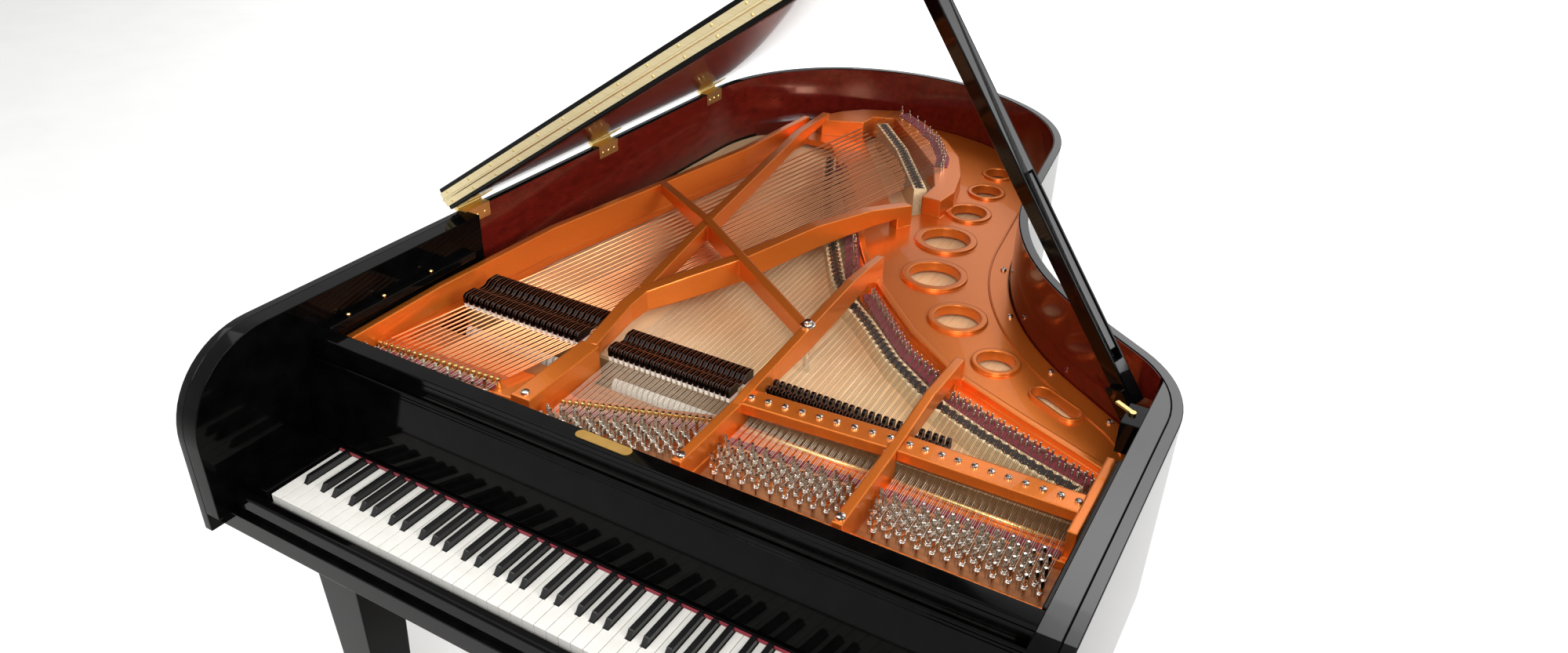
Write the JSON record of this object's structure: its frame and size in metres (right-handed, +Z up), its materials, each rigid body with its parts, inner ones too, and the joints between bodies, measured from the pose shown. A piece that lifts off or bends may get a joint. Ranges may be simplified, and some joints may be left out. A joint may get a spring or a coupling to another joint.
{
  "type": "grand piano",
  "caption": "Grand piano on legs with a raised lid on its prop, cast plate and strings in view, keys, hammers, dampers and pedals that move.",
  "frame": {"origin": "on the floor, under the middle of the outline's bounding box", "axes": "+Z up, +Y from the keyboard to the tail, +X to the treble side"},
  "size_m": [1.504, 2.1176, 1.8902],
  "materials": {
    "black_polish": "polished black lacquer",
    "mahogany": "polished red-brown veneer",
    "plain_wood": "planed",
    "spruce": "satin varnish",
    "maple": "satin",
    "bronze_lacquer": "bronze lacquer over cast iron",
    "nickel": "nickel plated",
    "steel_wire": "drawn wire",
    "copper_wire": "wound copper",
    "brass": "polished",
    "bordeaux_felt": "felt",
    "white_felt": "felt",
    "ivory_plastic": "gloss",
    "black_satin": "satin",
    "caster_brass": "satin"
  },
  "bodies": {
    "case": {"outer_rim": "black_polish", "inner_rim": "mahogany", "arm_blocks": "black_polish", "keybed": "plain_wood", "key_blocks": "black_polish", "key_rail": "black_polish", "key_slip": "black_polish", "stretcher": "black_polish", "belly_rail": "plain_wood", "pin_block": "maple", "soundboard": "spruce", "soundboard_ribs": "spruce", "rim_braces": "plain_wood", "bridges": "maple", "plate": "bronze_lacquer", "capo_bars": "bronze_lacquer", "bass_strings": "copper_wire", "plain_strings": "steel_wire", "tuning_pins": "nickel", "string_bearings": "brass", "string_felts": "bordeaux_felt", "plate_screws": "nickel", "case_hinge_leaves": "brass", "prop_bracket": "black_polish", "desk_rails": "black_polish", "legs": "black_polish", "lyre": "black_polish", "lyre_braces": "black_polish"},
    "lid": {"lid": "black_polish", "lid_hinge_leaves": "brass"},
    "flap": {"lid_flap": "black_polish", "flap_hinge_leaf": "brass"},
    "prop": {"prop_stick": "black_polish"},
    "half_stick": {"half_stick": "black_polish"},
    "prop_catch": {"prop_catch": "brass"},
    "fallboard": {"fallboard": "black_polish"},
    "action": {"key_frame": "plain_wood", "hammer_rail": "plain_wood"},
    "keys_a": {"natural_keys_a": "ivory_plastic"},
    "keys_b": {"natural_keys_b": "ivory_plastic"},
    "keys_sharp": {"sharp_keys": "black_satin"},
    "hammers_a": {"hammers_a": "white_felt"},
    "hammers_b": {"hammers_b": "white_felt"},
    "hammers_sharp": {"hammers_sharp": "white_felt"},
    "damper_tray": {"damper_tray": "plain_wood"},
    "dampers_a": {"dampers_a": "black_polish"},
    "dampers_b": {"dampers_b": "black_polish"},
    "dampers_sharp": {"dampers_sharp": "black_polish"},
    "pedal_left": {"pedal_left": "brass"},
    "pedal_rod_left": {"pedal_rod_left": "steel_wire"},
    "pedal_middle": {"pedal_middle": "brass"},
    "pedal_rod_middle": {"pedal_rod_middle": "steel_wire"},
    "pedal_right": {"pedal_right": "brass"},
    "pedal_rod_right": {"pedal_rod_right": "steel_wire"},
    "caster_bass": {"caster_bass": "caster_brass"},
    "wheel_bass": {"wheel_bass": "caster_brass"},
    "caster_treble": {"caster_treble": "caster_brass"},
    "wheel_treble": {"wheel_treble": "caster_brass"},
    "caster_tail": {"caster_tail": "caster_brass"},
    "wheel_tail": {"wheel_tail": "caster_brass"}
  },
  "joints": [
    {"name": "lid_hinge", "type": "hinge", "parent": "case", "child": "lid", "pos_m": [-0.72784, 0.0512, 1.005], "axis": [0, -1, 0], "range_deg": [0, 12]},
    {"name": "flap_hinge", "type": "hinge", "parent": "lid", "child": "flap", "pos_m": [-0.24746, -0.3968, 1.36543], "axis": [0.8251, 0, 0.565], "range_deg": [0, 180]},
    {"name": "prop_fold", "type": "hinge", "parent": "case", "child": "prop", "pos_m": [0.64456, -0.2138, 0.94], "axis": [-0.473, -0.8193, -0.3239], "range_deg": [0, 50]},
    {"name": "half_stick_fold", "type": "hinge", "parent": "prop", "child": "half_stick", "pos_m": [0.59946, -0.22011, 1.02183], "axis": [0.473, 0.8193, 0.3239], "range_deg": [0, 50]},
    {"name": "prop_catch_turn", "type": "hinge", "parent": "case", "child": "prop_catch", "pos_m": [0.67496, -0.3248, 0.9773], "axis": [0, 0, 1], "range_deg": [0, 70]},
    {"name": "fallboard_hinge", "type": "hinge", "parent": "case", "child": "fallboard", "pos_m": [0.01456, -0.83567, 0.7627], "axis": [1, 0, 0], "range_deg": [0, 99]},
    {"name": "action_shift", "type": "slide", "parent": "case", "child": "action", "axis": [1, 0, 0], "range_m": [0, 0.003]},
    {"name": "keys_a_press", "type": "hinge", "parent": "action", "child": "keys_a", "pos_m": [0.01456, -0.7588, 0.715], "axis": [1, 0, 0], "range_deg": [0, 2.39], "stiffness_Nm_per_rad": 6, "springref_deg": -4.58},
    {"name": "hammers_a_swing", "type": "hinge", "parent": "action", "child": "hammers_a", "pos_m": [0.01456, -0.5968, 0.775], "axis": [1, 0, 0], "range_deg": [0, 22.05]},
    {"name": "keys_b_press", "type": "hinge", "parent": "action", "child": "keys_b", "pos_m": [0.01456, -0.7588, 0.715], "axis": [1, 0, 0], "range_deg": [0, 2.39], "stiffness_Nm_per_rad": 6, "springref_deg": -4.58},
    {"name": "hammers_b_swing", "type": "hinge", "parent": "action", "child": "hammers_b", "pos_m": [0.01456, -0.5968, 0.775], "axis": [1, 0, 0], "range_deg": [0, 22.05]},
    {"name": "keys_sharp_press", "type": "hinge", "parent": "action", "child": "keys_sharp", "pos_m": [0.01456, -0.7588, 0.715], "axis": [1, 0, 0], "range_deg": [0, 2.39], "stiffness_Nm_per_rad": 6, "springref_deg": -4.58},
    {"name": "hammers_sharp_swing", "type": "hinge", "parent": "action", "child": "hammers_sharp", "pos_m": [0.01456, -0.5968, 0.775], "axis": [1, 0, 0], "range_deg": [0, 22.05]},
    {"name": "damper_tray_lift", "type": "slide", "parent": "case", "child": "damper_tray", "axis": [0, 0, 1], "range_m": [0, 0.0081], "stiffness_N_per_m": 100, "springref_m": 0.085},
    {"name": "dampers_a_lift", "type": "slide", "parent": "damper_tray", "child": "dampers_a", "axis": [0, 0, 1], "range_m": [0, 0.0061]},
    {"name": "dampers_b_lift", "type": "slide", "parent": "damper_tray", "child": "dampers_b", "axis": [0, 0, 1], "range_m": [0, 0.0061]},
    {"name": "dampers_sharp_lift", "type": "slide", "parent": "damper_tray", "child": "dampers_sharp", "axis": [0, 0, 1], "range_m": [0, 0.0061]},
    {"name": "pedal_left_press", "type": "hinge", "parent": "case", "child": "pedal_left", "pos_m": [-0.05944, -0.8528, 0.117], "axis": [1, 0, 0], "range_deg": [0, 7], "stiffness_Nm_per_rad": 30, "springref_deg": -3.44},
    {"name": "pedal_rod_left_lift", "type": "slide", "parent": "case", "child": "pedal_rod_left", "axis": [0, 0, 1], "range_m": [0, 0.0073]},
    {"name": "pedal_middle_press", "type": "hinge", "parent": "case", "child": "pedal_middle", "pos_m": [0.01456, -0.8528, 0.117], "axis": [1, 0, 0], "range_deg": [0, 7], "stiffness_Nm_per_rad": 30, "springref_deg": -3.44},
    {"name": "pedal_rod_middle_lift", "type": "slide", "parent": "case", "child": "pedal_rod_middle", "axis": [0, 0, 1], "range_m": [0, 0.0073]},
    {"name": "pedal_right_press", "type": "hinge", "parent": "case", "child": "pedal_right", "pos_m": [0.08856, -0.8528, 0.117], "axis": [1, 0, 0], "range_deg": [0, 7], "stiffness_Nm_per_rad": 30, "springref_deg": -3.44},
    {"name": "pedal_rod_right_lift", "type": "slide", "parent": "case", "child": "pedal_rod_right", "axis": [0, 0, 1], "range_m": [0, 0.0073]},
    {"name": "caster_bass_swivel", "type": "hinge", "parent": "case", "child": "caster_bass", "pos_m": [-0.57744, -0.8788, 0.07], "axis": [0, 0, 1], "continuous": true},
    {"name": "wheel_bass_roll", "type": "hinge", "parent": "caster_bass", "child": "wheel_bass", "pos_m": [-0.58547, -0.86733, 0.03], "axis": [0.8192, 0.5736, 0], "continuous": true},
    {"name": "caster_treble_swivel", "type": "hinge", "parent": "case", "child": "caster_treble", "pos_m": [0.60656, -0.8788, 0.07], "axis": [0, 0, 1], "continuous": true},
    {"name": "wheel_treble_roll", "type": "hinge", "parent": "caster_treble", "child": "wheel_treble", "pos_m": [0.61729, -0.8698, 0.03], "axis": [0.6428, -0.766, 0], "continuous": true},
    {"name": "caster_tail_swivel", "type": "hinge", "parent": "case", "child": "caster_tail", "pos_m": [-0.24744, 0.8112, 0.07], "axis": [0, 0, 1], "continuous": true},
    {"name": "wheel_tail_roll", "type": "hinge", "parent": "caster_tail", "child": "wheel_tail", "pos_m": [-0.26123, 0.80877, 0.03], "axis": [-0.1736, 0.9848, 0], "continuous": true}
  ],
  "couplings": [
    {"joint": "hammers_a_swing", "follows": "keys_a_press", "ratio": 9.2},
    {"joint": "hammers_b_swing", "follows": "keys_b_press", "ratio": 9.2},
    {"joint": "hammers_sharp_swing", "follows": "keys_sharp_press", "ratio": 9.2},
    {"joint": "dampers_a_lift", "follows": "keys_a_press", "m_per_rad": 0.1435},
    {"joint": "dampers_b_lift", "follows": "keys_b_press", "m_per_rad": 0.1435},
    {"joint": "dampers_sharp_lift", "follows": "keys_sharp_press", "m_per_rad": 0.1435},
    {"joint": "pedal_rod_left_lift", "follows": "pedal_left_press", "m_per_rad": 0.0585},
    {"joint": "pedal_rod_middle_lift", "follows": "pedal_middle_press", "m_per_rad": 0.0585},
    {"joint": "pedal_rod_right_lift", "follows": "pedal_right_press", "m_per_rad": 0.0585},
    {"joint": "action_shift", "follows": "pedal_left_press", "m_per_rad": 0.0244},
    {"joint": "damper_tray_lift", "follows": "pedal_right_press", "m_per_rad": 0.065}
  ]
}
